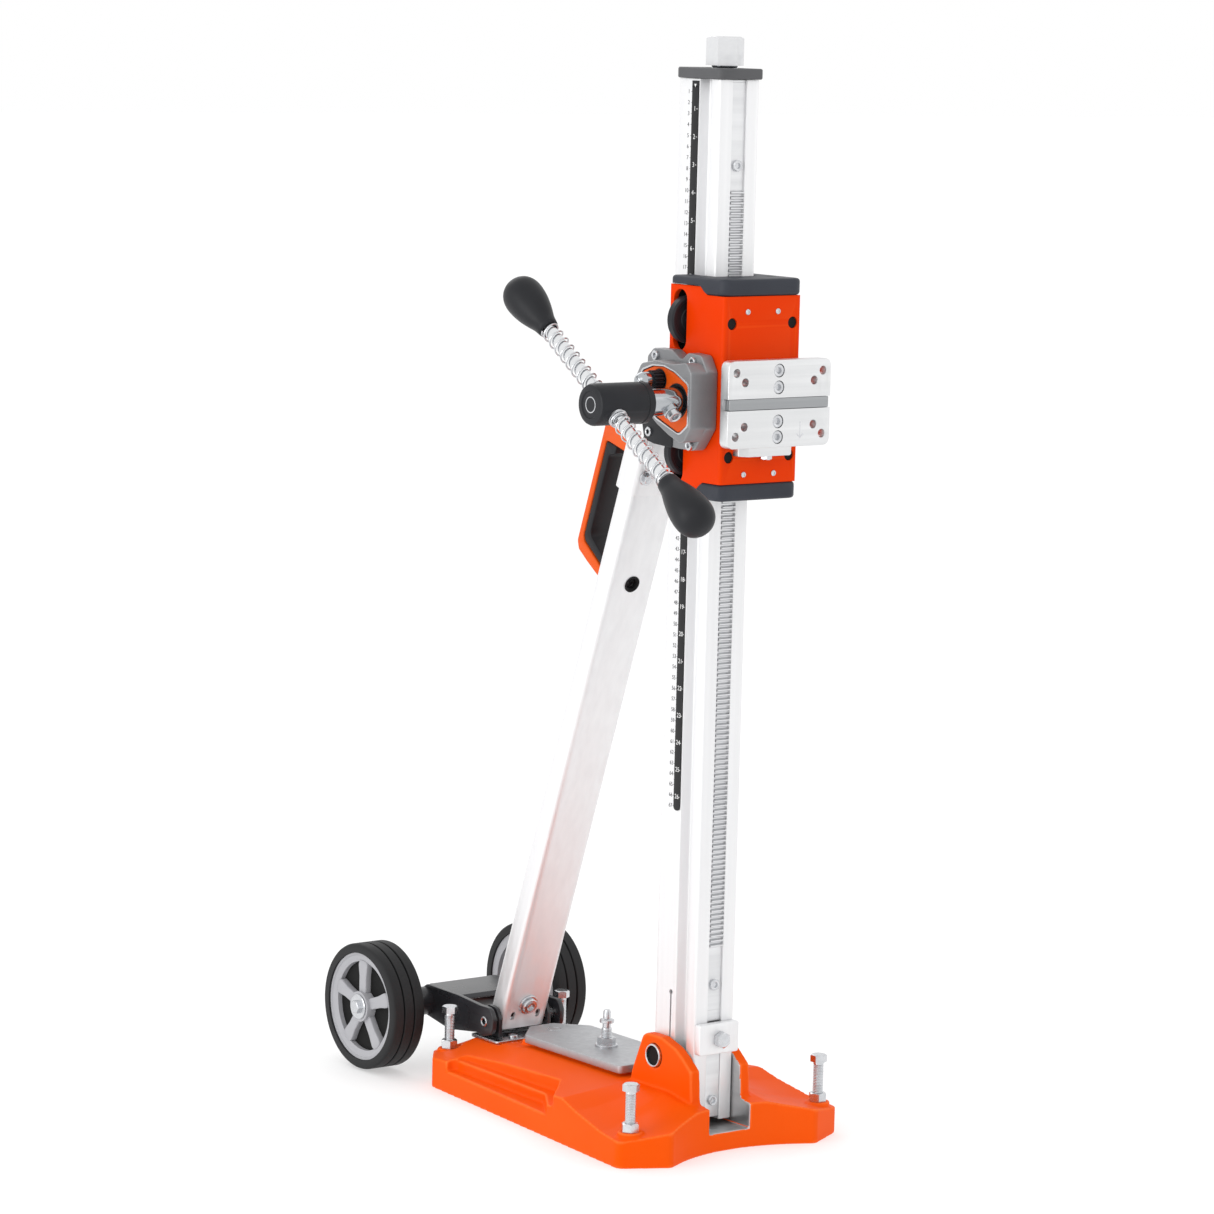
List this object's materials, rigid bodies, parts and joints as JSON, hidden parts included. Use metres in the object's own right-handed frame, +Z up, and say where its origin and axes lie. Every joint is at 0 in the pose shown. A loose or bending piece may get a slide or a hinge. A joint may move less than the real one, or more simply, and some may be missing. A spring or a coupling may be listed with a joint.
{
  "type": "core drill rig",
  "caption": "Tilting core drill stand: cast base with levelling screws, toothed column, rear strut, wheels and a hand-fed roller carriage with a motor plate.",
  "frame": {"origin": "the floor, under the centre line of the upright column", "axes": "+X to the side away from the feed handle, +Y back towards the wheels, -Y front where the motor plate is, +Z up along the column"},
  "size_m": [0.303, 0.6404, 1.0272],
  "materials": {
    "orange_paint": "glossy orange powder coat",
    "orange_plastic": "satin moulded orange plastic",
    "aluminium": "anodised and brushed along its length",
    "milled_aluminium": "fine milled",
    "zinc_steel": "bright zinc plated",
    "dark_steel": "machined, lightly oiled",
    "chrome": "polished",
    "cast_housing": "grey painted casting",
    "grey_plastic": "fine grained dark grey plastic",
    "black_plastic": "satin black plastic",
    "rim_plastic": "grained mid grey plastic",
    "black_paint": "satin black paint",
    "scale_black": "matt printed strip",
    "soft_rubber": "soft matt grip",
    "tyre": "solid rubber tyre"
  },
  "bodies": {
    "base": {"base_casting": "orange_paint", "pivot_tube": "zinc_steel", "anchor_plate": "dark_steel", "anchor_stud": "zinc_steel", "anchor_nut": "zinc_steel", "foot_hinge": "zinc_steel", "foot_pin": "zinc_steel", "wheel_bracket": "black_paint", "wheel_axle": "zinc_steel", "lock_nut_front_left": "zinc_steel", "lock_nut_front_right": "zinc_steel", "lock_nut_back_left": "zinc_steel", "lock_nut_back_right": "zinc_steel"},
    "column": {"column_profile": "aluminium", "gear_rack": "dark_steel", "stop_block": "aluminium", "stop_bolt": "zinc_steel", "scale_strip": "scale_black", "column_cap": "grey_plastic"},
    "jack": {"jack_screw": "chrome"},
    "carriage": {"carriage_housing": "orange_paint", "carriage_cap_top": "grey_plastic", "carriage_cap_bottom": "grey_plastic", "gear_housing": "cast_housing", "gear_cover": "orange_plastic", "plate_carrier": "milled_aluminium", "motor_plate": "milled_aluminium", "plate_key": "dark_steel", "roller_axle_upper_left": "dark_steel", "roller_axle_upper_right": "dark_steel", "roller_axle_lower_left": "dark_steel", "roller_axle_lower_right": "dark_steel"},
    "feed": {"feed_shaft": "chrome", "reduction_wheel": "dark_steel", "feed_hub": "black_plastic", "handle_spring_upper": "zinc_steel", "handle_spring_lower": "zinc_steel"},
    "handle": {"handle_rod": "chrome", "handle_knob_upper": "soft_rubber", "handle_knob_lower": "soft_rubber"},
    "reduction": {"reduction_shaft": "chrome"},
    "strut": {"strut_tube": "aluminium", "strut_foot_bolt": "zinc_steel", "strut_head": "aluminium", "carry_handle": "orange_plastic", "handle_grip": "soft_rubber"},
    "slider": {"column_slider": "dark_steel"},
    "wheel_left": {"wheel_tyre_left": "tyre", "wheel_rim_left": "rim_plastic"},
    "wheel_right": {"wheel_tyre_right": "tyre", "wheel_rim_right": "rim_plastic"},
    "level_front_left": {"levelling_screw_front_left": "zinc_steel"},
    "level_front_right": {"levelling_screw_front_right": "zinc_steel"},
    "level_back_left": {"levelling_screw_back_left": "zinc_steel"},
    "level_back_right": {"levelling_screw_back_right": "zinc_steel"},
    "roller_upper_left": {"guide_roller_upper_left": "black_plastic"},
    "roller_upper_right": {"guide_roller_upper_right": "black_plastic"},
    "roller_lower_left": {"guide_roller_lower_left": "black_plastic"},
    "roller_lower_right": {"guide_roller_lower_right": "black_plastic"}
  },
  "joints": [
    {"name": "column_tilt", "type": "hinge", "parent": "base", "child": "column", "pos_m": [0, 0.015, 0.08], "axis": [-1, 0, 0], "range_deg": [0, 45]},
    {"name": "strut_swing", "type": "hinge", "parent": "base", "child": "strut", "pos_m": [0, 0.2755, 0.062], "axis": [-1, 0, 0], "range_deg": [0, 50]},
    {"name": "strut_slide", "type": "slide", "parent": "column", "child": "slider", "axis": [0, 0, 1], "range_m": [0, 0.211]},
    {"name": "carriage_slide", "type": "slide", "parent": "column", "child": "carriage", "axis": [0, 0, 1], "range_m": [-0.49, 0.165]},
    {"name": "feed_turn", "type": "hinge", "parent": "carriage", "child": "feed", "pos_m": [0, -0.045, 0.7005], "axis": [1, 0, 0], "continuous": true},
    {"name": "reduction_turn", "type": "hinge", "parent": "carriage", "child": "reduction", "pos_m": [0, -0.019, 0.71746], "axis": [1, 0, 0], "continuous": true},
    {"name": "handle_slide", "type": "slide", "parent": "feed", "child": "handle", "axis": [0, 0.829, 0.5592], "range_m": [-0.018, 0.018], "stiffness_N_per_m": 1500, "deforming": ["handle_spring_upper", "handle_spring_lower"]},
    {"name": "roller_turn_upper_left", "type": "hinge", "parent": "carriage", "child": "roller_upper_left", "pos_m": [-0.0351, -0.0083, 0.7709], "axis": [0, 1, 0], "continuous": true},
    {"name": "roller_turn_upper_right", "type": "hinge", "parent": "carriage", "child": "roller_upper_right", "pos_m": [0.0351, -0.0083, 0.7709], "axis": [0, 1, 0], "continuous": true},
    {"name": "roller_turn_lower_left", "type": "hinge", "parent": "carriage", "child": "roller_lower_left", "pos_m": [-0.0351, -0.0083, 0.6501], "axis": [0, 1, 0], "continuous": true},
    {"name": "roller_turn_lower_right", "type": "hinge", "parent": "carriage", "child": "roller_lower_right", "pos_m": [0.0351, -0.0083, 0.6501], "axis": [0, 1, 0], "continuous": true},
    {"name": "wheel_turn_left", "type": "hinge", "parent": "base", "child": "wheel_left", "pos_m": [-0.1, 0.3847, 0.0646], "axis": [1, 0, 0], "continuous": true},
    {"name": "wheel_turn_right", "type": "hinge", "parent": "base", "child": "wheel_right", "pos_m": [0.1, 0.3847, 0.0646], "axis": [1, 0, 0], "continuous": true},
    {"name": "level_screw_front_left", "type": "slide", "parent": "base", "child": "level_front_left", "axis": [0, 0, 1], "range_m": [-0.002, 0.015]},
    {"name": "level_screw_front_right", "type": "slide", "parent": "base", "child": "level_front_right", "axis": [0, 0, 1], "range_m": [-0.002, 0.015]},
    {"name": "level_screw_back_left", "type": "slide", "parent": "base", "child": "level_back_left", "axis": [0, 0, 1], "range_m": [-0.002, 0.015]},
    {"name": "level_screw_back_right", "type": "slide", "parent": "base", "child": "level_back_right", "axis": [0, 0, 1], "range_m": [-0.002, 0.015]},
    {"name": "jack_extend", "type": "slide", "parent": "column", "child": "jack", "axis": [0, 0, 1], "range_m": [0, 0.02]}
  ],
  "couplings": [
    {"joint": "strut_swing", "follows": "column_tilt", "ratio": 1.104},
    {"joint": "strut_slide", "follows": "column_tilt", "m_per_rad": 0.267},
    {"joint": "feed_turn", "follows": "carriage_slide", "rad_per_m": -66.667},
    {"joint": "reduction_turn", "follows": "carriage_slide", "rad_per_m": 80.952},
    {"joint": "roller_turn_upper_left", "follows": "carriage_slide", "rad_per_m": 45.455},
    {"joint": "roller_turn_upper_right", "follows": "carriage_slide", "rad_per_m": -45.455},
    {"joint": "roller_turn_lower_left", "follows": "carriage_slide", "rad_per_m": 45.455},
    {"joint": "roller_turn_lower_right", "follows": "carriage_slide", "rad_per_m": -45.455}
  ]
}
